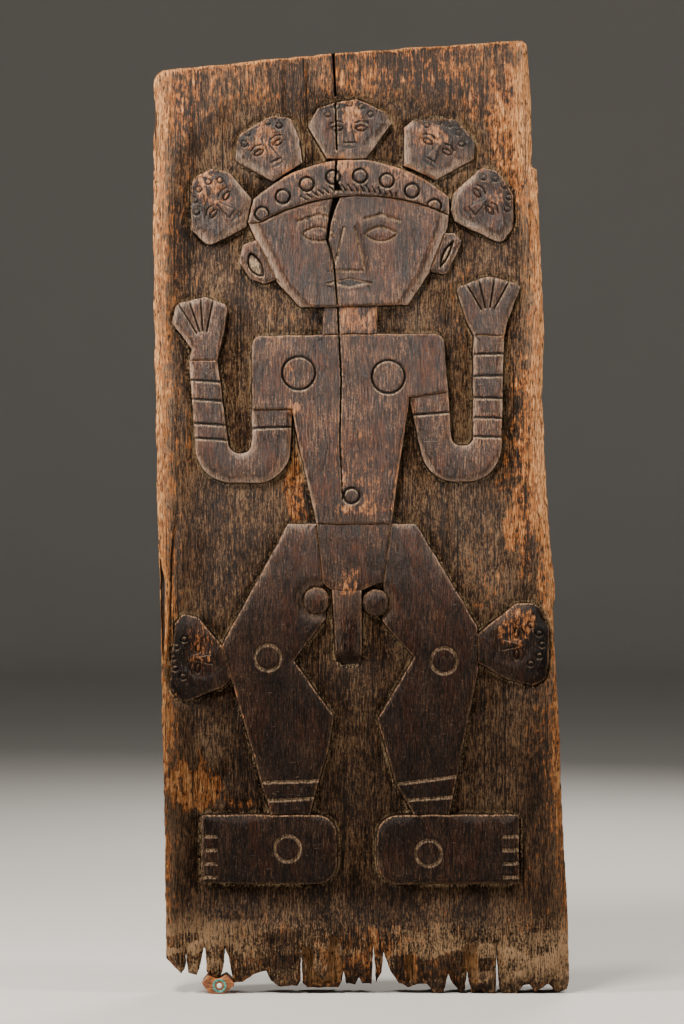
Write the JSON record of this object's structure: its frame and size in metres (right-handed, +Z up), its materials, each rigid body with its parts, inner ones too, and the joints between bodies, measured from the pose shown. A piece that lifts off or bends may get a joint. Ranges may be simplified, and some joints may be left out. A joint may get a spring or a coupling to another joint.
{
  "type": "carved relief panel",
  "caption": "Upright hewn timber panel with a frontal ancestor figure in low relief, rotten at the foot, for display or as a wall panel.",
  "frame": {"origin": "middle of the panel's foot, on the surface that it stands on", "axes": "+Z up the panel, +X to the viewer's right, the carved face looks to -Y and the back to +Y"},
  "size_m": [0.568, 0.06, 1.2994],
  "materials": {
    "board_wood": "worn",
    "figure_wood": "polished by handling",
    "prop_wood": "satin",
    "ring_glaze": "gloss",
    "bead_white": "gloss"
  },
  "bodies": {
    "root": {"plank": "board_wood", "head": "figure_wood", "headband": "figure_wood", "ear_left": "figure_wood", "ear_right": "figure_wood", "neck": "figure_wood", "torso": "figure_wood", "arm_left": "figure_wood", "arm_right": "figure_wood", "hand_left": "figure_wood", "hand_right": "figure_wood", "crown_head_far_left": "figure_wood", "crown_head_left": "figure_wood", "crown_head_top": "figure_wood", "crown_head_right": "figure_wood", "crown_head_far_right": "figure_wood", "loin_panel": "figure_wood", "loin_peg": "figure_wood", "loin_boss_left": "figure_wood", "loin_boss_right": "figure_wood", "leg_left": "figure_wood", "leg_right": "figure_wood", "foot_left": "figure_wood", "foot_right": "figure_wood", "hip_head_left": "figure_wood", "hip_head_right": "figure_wood", "prop_block": "prop_wood", "prop_ring": "ring_glaze", "prop_bead": "bead_white"}
  },
  "joints": []
}
